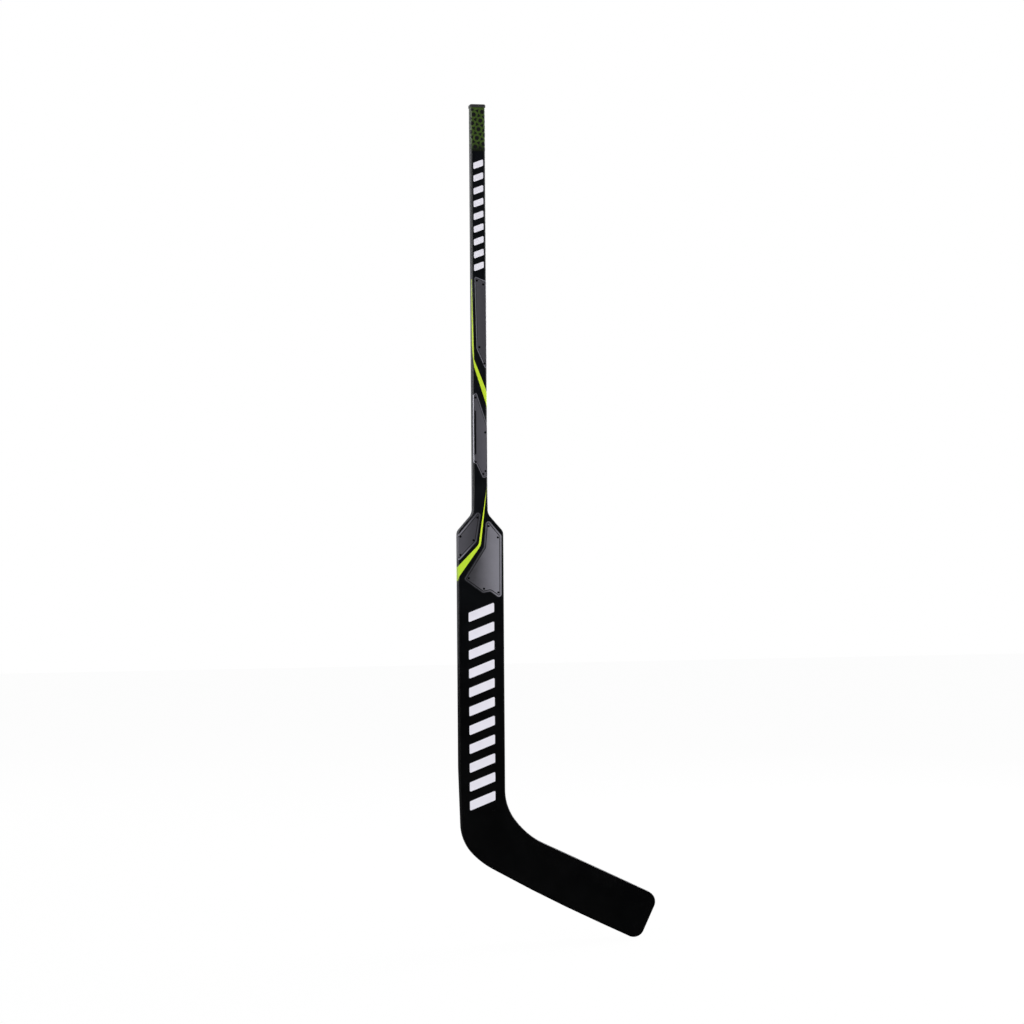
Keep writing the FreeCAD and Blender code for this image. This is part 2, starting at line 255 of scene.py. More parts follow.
def spineWood():
    paint = Finish("spineWood")
    fibre = paint.noise(260, 5, (1, 1, 0.03), 0.6)
    ring = paint.noise(34, 2, (1, 0.4, 0.05))
    bands = ((ring * 60.0).cosine() + 1) * 0.5
    tint = paint.blend(bands, srgb(196, 160, 114), srgb(160, 118, 74))
    return paint.coat(Base_Color=paint.blend(fibre * 0.6, tint, srgb(128, 90, 52)),
                      Roughness=0.55 + 0.2 * fibre, Normal=paint.relief(fibre, 0.3, 0.0005))


def cellFoam(name, dark, light, scale):
    paint = Finish(name)
    sockets = {"Vector": paint.spot(), "Scale": scale}
    cell = paint.add("ShaderNodeTexVoronoi", {"feature": "F1"}, sockets, "Distance")
    patch = paint.noise(40, 4)
    return paint.coat(Base_Color=paint.blend(cell * 0.7 + patch * 0.4, light, dark),
                      Roughness=0.75 + 0.15 * patch, Normal=paint.relief(cell, 0.5, 0.0008))


def edgeResin():
    paint = Finish("edgeResin")
    swirl = paint.noise(70, 6, (1, 1, 2.5), 0.65)
    fleck = paint.noise(1300, 2)
    tint = paint.blend(swirl, srgb(120, 104, 70), srgb(172, 152, 108))
    tint = paint.blend(paint.ramp(fleck, 0.55, 0.75, 0, 0.5), tint, srgb(220, 205, 165))
    return paint.coat(Base_Color=tint, Roughness=0.3 + 0.2 * swirl, Normal=paint.relief(swirl, 0.1, 0.0004))


finishes = {
    "blackPaint": blackPaint(),
    "lime": limePrint(),
    "pale": palePrint(),
    "lattice": latticePrint(),
    "cap": capPlastic(),
    "cell": darkPrint("cellPrint", 6, 0.3),
    "dot": darkPrint("dotPrint", 0, 0.04),
    "line": darkPrint("linePrint", 8, 0.3),
    # each grey panel's dark and light ends are a painted sheen, lighter on the side where it catches the
    # light
    "upperField": greyPrintAndSheen("upperField", srgb(76, 75, 81), srgb(66, 65, 71), -0.014, 0.013),
    "lowerField": greyPrintAndSheen("lowerField", srgb(76, 75, 82), srgb(89, 88, 95), -0.014, 0.013),
    "shaftRim": greyPrintAndSheen("shaftRim", srgb(96, 96, 104), srgb(124, 123, 132), -0.014, 0.013, 0.2),
    "lowerRim": greyPrintAndSheen("lowerRim", srgb(182, 181, 192), srgb(104, 103, 111), -0.0136, -0.009, 0.2),
    "heelField": greyPrintAndSheen("heelField", srgb(62, 61, 67), srgb(83, 82, 89), 0.0, -0.045),
    "heelRim": greyPrintAndSheen("heelRim", srgb(62, 62, 68), srgb(122, 121, 130), 0.0, -0.04, 0.2),
    "toeField": greyPrintAndSheen("toeField", srgb(62, 61, 66), srgb(135, 134, 143), -0.02, 0.036),
    "toeRim": greyPrintAndSheen("toeRim", srgb(56, 56, 61), srgb(134, 133, 142), -0.005, 0.04, 0.2),
    "woven": wovenLaminate(),
    "wood": spineWood(),
    "foam": cellFoam("coreFoam", srgb(188, 172, 136), srgb(222, 210, 180), 700),
    "denseFoam": cellFoam("denseFoam", srgb(150, 122, 82), srgb(190, 164, 118), 1100),
    "resin": edgeResin(),
}
hiddenFinishes = {
    "spine": "wood", "spine_web_heel_side": "woven", "spine_web_toe_side": "woven", "heel_block": "denseFoam",
    "paddle_core_heel_side": "foam", "paddle_core_toe_side": "foam", "ice_edge_bead": "resin",
    "blade_rib": "woven", "blade_core_upper": "foam", "blade_core_lower": "foam",
}
for node, finish in hiddenFinishes.items():
    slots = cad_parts[node].data.materials
    slots.clear()
    slots.append(finishes[finish])
print("finishes made:", len(finishes))


def deselectAll():
    if bpy.context.object and bpy.context.object.mode != "OBJECT":
        bpy.ops.object.mode_set(mode="OBJECT")
    bpy.ops.object.select_all(action="DESELECT")


def named(name, *wearing):
    piece = bpy.context.object
    piece.name = name
    piece.data.name = name
    for finish in wearing:
        piece.data.materials.append(finishes[finish])
    return piece


def choose(piece, kind, rule):
    # goes into edit mode with only the parts that fit the rule selected
    # the rule gets a part and its corners in mm
    modes = {"polygons": "FACE", "edges": "EDGE"}
    bpy.ops.object.mode_set(mode="EDIT")
    bpy.ops.mesh.select_mode(type=modes[kind])
    bpy.ops.mesh.select_all(action="DESELECT")
    bpy.ops.object.mode_set(mode="OBJECT")
    spots = [v.co / mm for v in piece.data.vertices]
    for part in getattr(piece.data, kind):
        part.select = rule(part, [spots[v] for v in part.vertices])
    bpy.ops.object.mode_set(mode="EDIT")


def chooseAll():
    bpy.ops.object.mode_set(mode="EDIT")
    bpy.ops.mesh.select_mode(type="VERT")
    bpy.ops.mesh.select_all(action="SELECT")


def wear(slot):
    bpy.context.object.active_material_index = slot
    bpy.ops.object.material_slot_assign()


def modify(piece, kind, **settings):
    bpy.ops.object.mode_set(mode="OBJECT")
    modifier = piece.modifiers.new(kind.lower(), kind)
    for key, value in settings.items():
        setattr(modifier, key, value)
    bpy.ops.object.modifier_apply(modifier=modifier.name)


def bothFaces(piece):
    modify(piece, "MIRROR", use_axis=(False, True, False), use_mirror_merge=False)


def faceFront(piece):
    # the flat sheet looks out of the playing face
    bpy.ops.object.mode_set(mode="OBJECT")
    if piece.data.polygons[0].normal.y > 0:
        chooseAll()
        bpy.ops.mesh.flip_normals()


def shift(piece, x, z):
    for v in piece.data.vertices:
        v.co += Vector((x, 0, z)) * mm


def copyAt(shape, x, z):
    copy = shape.copy()
    copy.data = shape.data.copy()
    bpy.context.scene.collection.objects.link(copy)
    shift(copy, x, z)
    return copy


def joinInto(piece, others):
    deselectAll()
    for other in others + [piece]:
        other.select_set(True)
    bpy.context.view_layer.objects.active = piece
    bpy.ops.object.join()


def settle(piece, body, slot, *nodes, angle=32):
    bpy.ops.object.mode_set(mode="OBJECT")
    bpy.ops.object.shade_smooth_by_angle(angle=math.radians(angle))
    modify(piece, "WEIGHTED_NORMAL", keep_sharp=True, weight=50)
    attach(piece, body)
    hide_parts(*nodes)
    print("made", piece.name, len(piece.data.polygons), "faces")


def roundedRuns(corners, room):
    # where each corner's arc starts, its centre and its turn; an arc takes at most its share of a side
    runs = []
    for i, (x, z, radius) in enumerate(corners):
        here = Vector((x, z))
        before = here - Vector(corners[i - 1][:2])
        after = Vector(corners[(i + 1) % len(corners)][:2]) - here
        first, second = before.normalized(), after.normalized()
        turn = math.atan2(first.x * second.y - first.y * second.x, first.dot(second))
        slope = max(math.tan(abs(turn) / 2), 1e-4)
        radius = min(radius, room * min(before.length, after.length) / slope)
        start = here - first * radius * slope
        side = 1 if turn > 0 else -1
        runs.append((start, start + Vector((-first.y, first.x)) * radius * side, turn if radius else 0))
    return runs


def traceOutline(name, corners, room=0.45, fine=6.0, wearing=()):
    # one vertex is drawn along the sides and spun round the corners, then the loop is filled
    deselectAll()
    bpy.ops.mesh.primitive_plane_add(size=mm)
    piece = named(name, *wearing)
    chooseAll()
    bpy.ops.mesh.merge(type="CENTER")
    runs = roundedRuns(corners, room)
    at = Vector((0, 0))
    for i, (start, centre, turn) in enumerate(runs + runs[:1]):
        step = (start - at) * mm
        if i == 0:
            bpy.ops.transform.translate(value=(step.x, 0, step.y))
        else:
            bpy.ops.mesh.extrude_region_move(TRANSFORM_OT_translate={"value": (step.x, 0, step.y)})
        at = start
        if turn and i < len(runs):
            steps = max(3, math.ceil(math.degrees(abs(turn)) / fine))
            pivot = (centre.x * mm, 0, centre.y * mm)
            bpy.ops.mesh.spin(steps=steps, angle=turn, center=pivot, axis=(0, 1, 0))
            arm = start - centre
            cos, sin = math.cos(turn), math.sin(turn)
            at = centre + Vector((arm.x * cos - arm.y * sin, arm.x * sin + arm.y * cos))
    chooseAll()
    bpy.ops.mesh.remove_doubles(threshold=weldGap * mm)
    bpy.ops.mesh.edge_face_add()
    faceFront(piece)
    return piece


def edgeOf(half, level):
    # the rounding of the edges at a level of the shaft or the paddle
    if half > stick["halfShaft"]:
        return stick["edge"]
    share = min(1, max(0, (level - stick["seam"]) / stick["edgeRun"]))
    return stick["edge"] + share * (stick["shaftEdge"] - stick["edge"])


def unrolled(x, half, level):
    # distance along the surface from the front's middle line to a place at x
    edge = edgeOf(half, level)
    flat = half - edge
    if abs(x) <= flat or abs(x) > half:
        return x
    return math.copysign(flat + edge * math.asin(min(1, (abs(x) - flat) / edge)), x)


def rolled(reach, half, edge):
    # the section's point and outward direction at a distance along the surface
    flat, deep, bend = half - edge, stick["halfDepth"] - edge, edge * math.pi / 2
    away, side = abs(reach), math.copysign(1, reach)
    if away <= flat:
        return side * away, -stick["halfDepth"], 0.0, -1.0
    if away <= flat + bend:
        turn = (away - flat) / edge
        sin, cos = math.sin(turn), math.cos(turn)
        return side * (flat + edge * sin), -deep - edge * cos, side * sin, -cos
    if away <= flat + bend + 2 * deep:
        return side * half, away - flat - bend - deep, side, 0.0
    if away <= flat + 2 * bend + 2 * deep:
        turn = (away - flat - bend - 2 * deep) / edge
        sin, cos = math.sin(turn), math.cos(turn)
        return side * (flat + edge * cos), deep + edge * sin, side * cos, sin
    return side * (2 * flat + 2 * bend + 2 * deep - away), stick["halfDepth"], 0.0, 1.0


def layOn(piece, halfAt):
    # wraps a flat sheet round the section, each corner as far off the surface as it was off the sheet's plane
    bpy.ops.object.mode_set(mode="OBJECT")
    for v in piece.data.vertices:
        level = v.co.z / mm
        half = halfAt(level)
        x, y, outX, outY = rolled(v.co.x / mm, half, edgeOf(half, level))
        lift = -v.co.y / mm
        v.co.x = (x + outX * lift) * mm
        v.co.y = (y + outY * lift) * mm


def rollUp(piece, halfAt):
    # cuts the flat sheet along the lines where the section bends, then lays it on the stick
    steps = stick["bendSteps"]
    bpy.ops.object.mode_set(mode="OBJECT")
    xs = [v.co.x / mm for v in piece.data.vertices]
    levels = [v.co.z / mm for v in piece.data.vertices]
    for half in sorted({halfAt(min(levels)), halfAt(max(levels))}):
        edge = edgeOf(half, max(levels))
        flat, deep, bend = half - edge, stick["halfDepth"] - edge, edge * math.pi / 2
        lines = [flat + bend * k / steps for k in range(steps + 1)]
        lines += [flat + bend + 2 * deep + bend * k / steps for k in range(steps + 1)]
        for line in [side * place for place in lines for side in (-1, 1)]:
            if min(xs) < line < max(xs):
                chooseAll()
                bpy.ops.mesh.bisect(plane_co=(line * mm, 0, 0), plane_no=(1, 0, 0))
    for level in (stick["seam"], stick["seam"] + stick["edgeRun"]):
        if min(levels) < level < max(levels):
            chooseAll()
            bpy.ops.mesh.bisect(plane_co=(0, 0, level * mm), plane_no=(0, 0, 1))
    layOn(piece, halfAt)
    chooseAll()
    bpy.ops.mesh.remove_doubles(threshold=weldGap * mm)


def shaftHalf(level):
    return stick["halfShaft"]


def paddleHalf(level):
    return stick["halfPaddle"]


def stickHalf(level):
    return stick["halfShaft"] if level > stick["shoulder"] else stick["halfPaddle"]


def onShaft(share):
    return share[0] * stick["halfShaft"], stick["tubeTop"] - share[1] * stick["bareShaft"]


def onPaddle(share):
    return share[0] * stick["halfPaddle"], stick["shoulder"] - share[1] * stick["paddleLength"]


def raised(thickness, slope):
    # lifts the chosen sheet off the surface with sloping sides
    bpy.ops.mesh.inset(thickness=slope * mm, depth=thickness * mm)


tube = {                        # the shaft is a hollow laminate tube
    "bevelSteps": stick["bendSteps"],                   # its facets line up with those of its prints
}


def makeShaft():
    low, high = stick["seam"], stick["tubeTop"]
    width, depth = 2 * stick["halfShaft"], 2 * stick["halfDepth"]
    deselectAll()
    bpy.ops.mesh.primitive_cube_add(size=1)
    piece = named("shaft", "blackPaint")
    chooseAll()
    bpy.ops.transform.resize(value=(width * mm, depth * mm, (high - low) * mm))
    bpy.ops.transform.translate(value=(0, 0, (low + high) / 2 * mm))
    choose(piece, "edges", lambda e, ends: abs(ends[0].z - ends[1].z) > (high - low) / 2)
    bpy.ops.mesh.bevel(offset=stick["shaftEdge"] * mm, segments=tube["bevelSteps"], affect="EDGES")
    choose(piece, "polygons", lambda f, ends: abs(f.normal.z) > levelLean)
    bpy.ops.mesh.delete(type="FACE")
    chooseAll()
    bpy.ops.mesh.bisect(plane_co=(0, 0, (low + stick["edgeRun"]) * mm), plane_no=(0, 0, 1))
    bpy.ops.object.mode_set(mode="OBJECT")
    for v in piece.data.vertices:                       # the lower end's corners get the paddle's rounding
        if v.co.z < (low + stick["edgeRun"] / 2) * mm:
            for i, half in enumerate((stick["halfShaft"] * mm, stick["halfDepth"] * mm)):
                gap = (half - abs(v.co[i])) * stick["edge"] / stick["shaftEdge"]
                v.co[i] = math.copysign(half - gap, v.co[i])
    modify(piece, "SOLIDIFY", thickness=stick["wall"] * mm, offset=-1)
    settle(piece, "stick", "painted_laminate", "shaft_tube")


skins = {                       # paddle and blade: two skins that meet along the middle of every edge
    "heelInset": 4.9, "lie": 27.6, "bladeLength": 369.5, "bladeHeight": 89.8, "flare": 1.95,
    "rockerDrop": 7.2, "rockerShare": 0.58, "toeRake": 2.3, "toeRadius": 20.0,
    "heelTurns": ((18.6, 83.7), (41.0, 136.1)),         # two arcs each: way from the corner, radius
    "throatTurns": ((45.9, 153.6), (36.2, 91.6)),
    "taperLength": 156.0, "taperRound": 400.0, "neckRound": 22.0, "shoulderRound": 15.0,
    "curveStart": 96.0, "forward": {"front": 25.0, "middle": 29.0, "back": 33.0}, "stations": 26,
    "room": 1.0, "fine": 4.0, "bevelSteps": 6, "faceLean": 0.7, "sideLean": 0.4,
}
lie = math.radians(skins["lie"])
heelCorner = Vector((skins["heelInset"] - stick["halfPaddle"], stick["heel"]))
chord = Vector((math.cos(lie), -math.sin(lie)))
square = Vector((math.sin(lie), math.cos(lie)))


def onBlade(length, height):
    return heelCorner + chord * length + square * height


def skinOutline():
    long, tall = skins["bladeLength"], skins["bladeHeight"]
    toeTop = onBlade(long - tall * math.tan(math.radians(skins["toeRake"])), tall)
    slope = math.tan(math.radians(skins["lie"] - skins["flare"]))
    half, thin = stick["halfPaddle"], stick["halfShaft"]
    throat = Vector((half, toeTop.y + (toeTop.x - half) * slope))
    rocker = skins["rockerShare"] * (long / 2) ** 2 / skins["rockerDrop"]
    neck, bump = skins["neckRound"], skins["shoulderRound"]
    taper = Vector((-half, stick["heel"] + skins["taperLength"]))
    sole = onBlade(long / 2, -skins["rockerDrop"])
    (upSide, upRound), (alongSole, soleRound) = skins["heelTurns"]
    (alongBrow, browRound), (upThroat, throatRound) = skins["throatTurns"]
    heelHigh = heelCorner + (taper - heelCorner).normalized() * upSide
    heelLow = heelCorner + (sole - heelCorner).normalized() * alongSole
    brow = throat + (toeTop - throat).normalized() * alongBrow
    return [
        (-thin, stick["seam"], 0), (-thin, stick["shoulder"], neck), (-half, stick["shoulderEnd"], bump),
        (*taper, skins["taperRound"]), (*heelHigh, upRound), (*heelLow, soleRound),
        (*sole, rocker), (*onBlade(long, 0), skins["toeRadius"]), (*toeTop, skins["toeRadius"]),
        (*brow, browRound), (half, throat.y + upThroat, throatRound), (half, stick["shoulderEnd"], bump),
        (thin, stick["shoulder"], neck), (thin, stick["seam"], 0),
    ]


def bentForward(length, forward):
    if length <= skins["curveStart"]:
        return 0.0
    run = skins["bladeLength"] - skins["curveStart"]
    radius = (run * run + forward * forward) / (2 * forward)
    return radius - math.sqrt(radius * radius - (length - skins["curveStart"]) ** 2)


def makeSkin(name, side, node):
    piece = traceOutline(name, skinOutline(), skins["room"], skins["fine"], ("blackPaint",))
    step = (skins["bladeLength"] - skins["curveStart"]) / skins["stations"]
    for k in range(skins["stations"]):
        chooseAll()
        at = onBlade(skins["curveStart"] + step * k, 0)
        bpy.ops.mesh.bisect(plane_co=(at.x * mm, 0, at.y * mm), plane_no=(chord.x, 0, chord.y))
    chooseAll()
    bpy.ops.mesh.extrude_region_move(TRANSFORM_OT_translate={"value": (0, side * stick["halfDepth"] * mm, 0)})
    choose(piece, "polygons", lambda f, ends: max(abs(end.y) for end in ends) < nearby
           or (f.normal.z > levelLean and min(end.z for end in ends) > stick["seam"] - nearby))
    bpy.ops.mesh.delete(type="FACE")
    bpy.ops.object.mode_set(mode="OBJECT")
    for v in piece.data.vertices:                       # the blade comes forward towards its toe
        length = (Vector((v.co.x, v.co.z)) / mm - heelCorner).dot(chord)
        layer = "middle" if abs(v.co.y) < nearby * mm else ("front" if side < 0 else "back")
        v.co.y -= bentForward(length, skins["forward"][layer]) * mm
    chooseAll()
    bpy.ops.mesh.normals_make_consistent(inside=False)
    bpy.ops.object.mode_set(mode="OBJECT")
    if max(piece.data.polygons, key=lambda f: f.area).normal.y * side < 0:
        chooseAll()
        bpy.ops.mesh.flip_normals()
        bpy.ops.object.mode_set(mode="OBJECT")
    facing = {}
    for f in piece.data.polygons:
        for key in f.edge_keys:
            facing.setdefault(key, []).append(abs(f.normal.y))

    def onRim(e, ends):                                 # between a broad face and a narrow side
        leans = facing[e.key]
        return len(leans) == 2 and max(leans) > skins["faceLean"] and min(leans) < skins["sideLean"]

    choose(piece, "edges", onRim)
    bpy.ops.mesh.bevel(offset=stick["edge"] * mm, segments=skins["bevelSteps"], affect="EDGES",
                       clamp_overlap=False)
    modify(piece, "SOLIDIFY", thickness=stick["skin"] * mm, offset=-1)
    settle(piece, "stick", "painted_laminate", node)


cap = {                         # a flange on the tube and a ribbed hollow spigot in its bore
    "flange": 5.8, "overhang": 1.0, "round": 2.3, "spigotLength": 38.0, "spigotWall": 2.2, "clearance": 0.35,
    "ribCount": 3, "ribWidth": 2.0, "ribHeight": 0.2, "ribPitch": 9.0, "ribSlope": 0.3, "shadowGap": 0.35,
    "ledge": 1.8, "lip": 0.2, "hollowStop": 0.5, "sideSteps": 8, "roundSteps": 6, "gapSteps": 2,
    "smoothAngle": 40,
}


def shrink(before, after):
    # the chosen ring goes from one inset of the tube's section to another
    wide, deep = stick["halfShaft"], stick["halfDepth"]
    scale = ((wide - after) / (wide - before), (deep - after) / (deep - before), 1)
    bpy.ops.transform.resize(value=scale, center_override=(0, 0, 0))


def growDown(drop):
    bpy.ops.mesh.extrude_region_move(TRANSFORM_OT_translate={"value": (0, 0, -drop * mm)})


def makeCap():
    top, seat = stick["tubeTop"] + cap["flange"], stick["tubeTop"]
    width, depth = stick["halfShaft"] + cap["overhang"], stick["halfDepth"] + cap["overhang"]
    corner = stick["shaftEdge"] + cap["overhang"]
    deselectAll()
    bpy.ops.mesh.primitive_cube_add(size=1)
    piece = named("endCap", "cap")
    chooseAll()
    bpy.ops.transform.resize(value=(2 * width * mm, 2 * depth * mm, cap["flange"] * mm))
    bpy.ops.transform.translate(value=(0, 0, (top + seat) / 2 * mm))
    choose(piece, "edges", lambda e, ends: abs(ends[0].z - ends[1].z) > nearby)
    bpy.ops.mesh.bevel(offset=corner * mm, segments=cap["sideSteps"], affect="EDGES")
    choose(piece, "edges", lambda e, ends: min(end.z for end in ends) > top - nearby)
    bpy.ops.mesh.bevel(offset=cap["round"] * mm, segments=cap["roundSteps"], affect="EDGES")
    choose(piece, "edges", lambda e, ends: max(end.z for end in ends) < seat + nearby)
    bpy.ops.mesh.bevel(offset=cap["shadowGap"] * mm, segments=cap["gapSteps"], affect="EDGES")
    # the spigot grows down from the flange in steps, wider at each rib
    choose(piece, "polygons",
           lambda f, ends: f.normal.z < -levelLean and max(end.z for end in ends) < seat + nearby)
    bpy.ops.mesh.inset(thickness=cap["ledge"] * mm, depth=0)
    slim = stick["wall"] + cap["clearance"]
    full = slim - cap["ribHeight"]
    shrink(cap["shadowGap"] + cap["ledge"] - cap["overhang"], slim)
    level, slope = 0.0, cap["ribSlope"]
    for k in range(cap["ribCount"]):
        start = (k + 1) * cap["ribPitch"]
        growDown(start - level)
        growDown(slope)
        shrink(slim, full)
        growDown(cap["ribWidth"] - 2 * slope)
        growDown(slope)
        shrink(full, slim)
        level = start + cap["ribWidth"]
    growDown(cap["spigotLength"] - level)
    bpy.ops.mesh.inset(thickness=cap["lip"] * mm, depth=0)
    shrink(slim + cap["lip"], slim + cap["spigotWall"])
    growDown(cap["hollowStop"] - cap["spigotLength"])   # back up, so the spigot is hollow
    settle(piece, "plug", "cap_plastic", "end_cap", angle=cap["smoothAngle"])


sleeve = {                      # lattice print round the butt end
    "endShare": 0.11, "lift": 0.02, "cellLift": 0.04, "period": 16.4, "tilt": 11.7,
    "hexagon": 4.3, "triangle": 4.3, "corner": 0.5, "fine": 30,
    "shift": 1.2, "reach": 9, "sideMargin": 3.0, "endMargin": 2.5,
}


def makeSleeve():
    low, high = onShaft((0, sleeve["endShare"]))[1], stick["tubeTop"]
    edge = stick["shaftEdge"]
    girth = 2 * (stick["halfShaft"] - edge) + 2 * (stick["halfDepth"] - edge) + math.pi * edge
    corners = [(-girth, high, 0), (-girth, low, 0), (girth, low, 0), (girth, high, 0)]
    piece = traceOutline("latticeSleeve", corners, wearing=("lattice", "cell"))
    chooseAll()
    bpy.ops.transform.translate(value=(0, -sleeve["lift"] * mm, 0))
    makeCells(piece, girth, low, high)
    for level, isTop in ((high, True), (low, False)):   # the cells end with the sleeve
        chooseAll()
        bpy.ops.mesh.bisect(plane_co=(0, 0, level * mm), plane_no=(0, 0, 1),
                            clear_outer=isTop, clear_inner=not isTop)
    rollUp(piece, shaftHalf)
    settle(piece, "stick", "lattice_print", "butt_lattice_film")


def cellShape(name, sides, radius, turn):
    corners = []
    for k in range(sides):
        angle = math.radians(turn + 360 * k / sides)
        corners.append((radius * math.cos(angle), radius * math.sin(angle), sleeve["corner"]))
    cell = traceOutline(name, corners, fine=sleeve["fine"], wearing=("lattice", "cell"))
    chooseAll()
    bpy.ops.transform.translate(value=(0, -sleeve["cellLift"] * mm, 0))
    wear(1)
    bpy.ops.object.mode_set(mode="OBJECT")
    return cell


def makeCells(field, girth, low, high):
    # six-sided cells in rows with three-sided ones between them
    tilt, period = math.radians(sleeve["tilt"]), sleeve["period"]
    down = Vector((-math.sin(tilt), -math.cos(tilt))) * period
    over = Vector((math.cos(tilt + math.radians(30)), -math.sin(tilt + math.radians(30)))) * period
    lean = -90 - sleeve["tilt"]
    shapes = [(cellShape("hexagon", 6, sleeve["hexagon"], lean + 30), Vector((0, 0))),
              (cellShape("triangleA", 3, sleeve["triangle"], lean + 30), (down + over) / 3),
              (cellShape("triangleB", 3, sleeve["triangle"], lean - 30), (down + over) * 2 / 3)]
    middle = Vector((sleeve["shift"], (low + high) / 2))
    count = range(-sleeve["reach"], sleeve["reach"] + 1)
    cells = []
    for shape, step in shapes:
        for at in [middle + down * i + over * k + step for i in count for k in count]:
            inside = min(at.y - low, high - at.y) > sleeve["endMargin"]
            if inside and abs(at.x) < girth - sleeve["sideMargin"]:
                cells.append(copyAt(shape, at.x, at.y))
        bpy.data.objects.remove(shape)
    joinInto(field, cells)


panels = {                      # grey panels: a rim, a thin dark line and a field
    "lift": 0.12, "slope": 0.18, "groove": 0.09, "wallWidth": 0.12,
    "upper": {"corner": 2.5, "rim": 1.6, "line": 0.7, "shares": (
        (-0.615, 0.423), (-0.395, 0.604), (0.97, 0.664), (0.97, 0.435))},
    "lower": {"corner": 2.5, "rim": 1.6, "line": 0.7, "shares": (
        (-0.93, 0.72), (-0.93, 0.888), (-0.5, 0.893), (0.35, 0.927), (0.97, 0.924), (0.97, 0.797),
        (-0.475, 0.713))},
    "heel": {"corner": 5.0, "rim": 2.8, "line": 1.1, "shares": (
        (0.062, -0.022), (-0.975, 0.061), (-1.213, 0.065), (-1.213, 0.127), (-0.962, 0.1385),
        (-0.187, 0.083))},
    "toe": {"corner": 5.0, "rim": 2.6, "line": 1.1, "shares": (
        (0.242, 0.011), (0.135, 0.099), (-0.757, 0.194), (0.07, 0.2343), (0.401, 0.2299), (0.893, 0.254),
        (0.907, 0.065))},
    "slot": {"width": 3.4, "place": -0.654, "span": (0.759, 0.868)},
}


def makePanel(name, plan, spot, halfAt, wearing, node, slot=None):
    half = halfAt(0)
    corners = []
    for share in plan["shares"]:
        x, z = spot(share)
        corners.append((unrolled(x, half, z), z, plan["corner"]))
    piece = traceOutline(name, corners, wearing=wearing)
    chooseAll()
    raised(panels["lift"], panels["slope"])
    bpy.ops.mesh.inset(thickness=(plan["rim"] - panels["slope"]) * mm, depth=0)
    wear(1)
    bpy.ops.mesh.inset(thickness=panels["wallWidth"] * mm, depth=-panels["groove"] * mm)
    bpy.ops.mesh.inset(thickness=plan["line"] * mm, depth=0)
    bpy.ops.mesh.inset(thickness=panels["wallWidth"] * mm, depth=panels["groove"] * mm)
    wear(2)
    if slot:
        cutSlot(piece, slot)
    rollUp(piece, halfAt)
    bothFaces(piece)
    settle(piece, "stick", "grey_print", node)


def cutSlot(piece, slot):
    half = slot["width"] / 2
    (middle, top), (middle, end) = [onShaft((slot["place"], share)) for share in slot["span"]]
    across, up = (1, 0, 0), (0, 0, 1)
    for place, normal in ((middle - half, across), (middle + half, across), (top, up), (end, up)):
        chooseAll()
        bpy.ops.mesh.bisect(plane_co=(place * mm, 0, place * mm), plane_no=normal)
    choose(piece, "polygons",
           lambda f, ends: abs(f.center.x / mm - middle) < half and end < f.center.z / mm < top)
    bpy.ops.mesh.delete(type="FACE")


stripes = {                     # on the shaft: mm round the section, and a share of the length
    "lift": 0.06, "slope": 0.1, "room": 0.3,
    "shaft": ((-16.6, 0.43), (-15.4, 0.594), (-10.2, 0.65), (14.4, 0.7535), (18.7, 0.76), (18.7, 0.721),
              (14.4, 0.716), (-10.5, 0.63), (-11.5, 0.57), (-14.1, 0.43)),
    "tip": (0.862, 0.95),
    "paddle": ((0.103, 0, 0), (-0.095, 0.0916, 15.0), (-0.953, 0.151, 0), (-1.03, 0.157, 0),
               (-1.213, 0.157, 0), (-1.213, 0.199, 0), (-1.03, 0.197, 0), (-0.953, 0.184, 0),
               (-0.006, 0.0945, 27.0), (0.15, 0, 0)),
}


def makeStripe(name, corners, halfAt, node, bareBack=False):
    piece = traceOutline(name, corners, stripes["room"], wearing=("lime",))
    chooseAll()
    raised(stripes["lift"], stripes["slope"])
    rollUp(piece, halfAt)
    bothFaces(piece)
    if bareBack:                                        # the rear half of the narrow side stays black
        choose(piece, "polygons", lambda f, ends: f.normal.x < -levelLean and f.center.y > 0)
        bpy.ops.mesh.delete(type="FACE")
    settle(piece, "stick", "lime_print", node)


def makeStripes():
    corners = [(x, onShaft((0, share))[1], 0) for x, share in stripes["shaft"]]
    makeStripe("shaftStripe", corners, shaftHalf, "shaft_stripe_film", True)
    tipX, tipZ = onShaft(stripes["tip"])
    corners = [(unrolled(tipX, stick["halfShaft"], tipZ), tipZ, 0)]
    corners += [(*onPaddle(share), share[2]) for share in stripes["paddle"]]
    makeStripe("paddleStripe", corners, stickHalf, "paddle_stripe_film")


bars = {                        # rows of plain slanted bars
    "slope": 21.0, "corner": 1.8, "heightShare": 0.5, "lift": 0.06, "side": 0.1,
    "shaft": {"count": 9, "width": 18.15, "span": (0.13, 0.417)},
    "paddle": {"count": 11, "width": 47.88, "span": (0.263, 0.875)},
}


def makeBars(name, plan, spot, node):
    top, bottom = [spot((0, share))[1] for share in plan["span"]]
    pitch = (top - bottom) / plan["count"]
    half, tall = plan["width"] / 2, pitch * bars["heightShare"]
    slant = plan["width"] * math.tan(math.radians(bars["slope"]))
    places = ((-half, top - slant), (-half, top - slant - tall), (half, top - tall), (half, top))
    piece = traceOutline(name, [(x, z, bars["corner"]) for x, z in places], wearing=("pale",))
    chooseAll()
    bpy.ops.transform.translate(value=(0, -stick["halfDepth"] * mm, 0))
    raised(bars["lift"], bars["side"])
    modify(piece, "ARRAY", count=plan["count"], use_relative_offset=False, use_constant_offset=True,
           constant_offset_displace=(0, 0, -pitch * mm))
    bothFaces(piece)
    settle(piece, "stick", "pale_print", node)


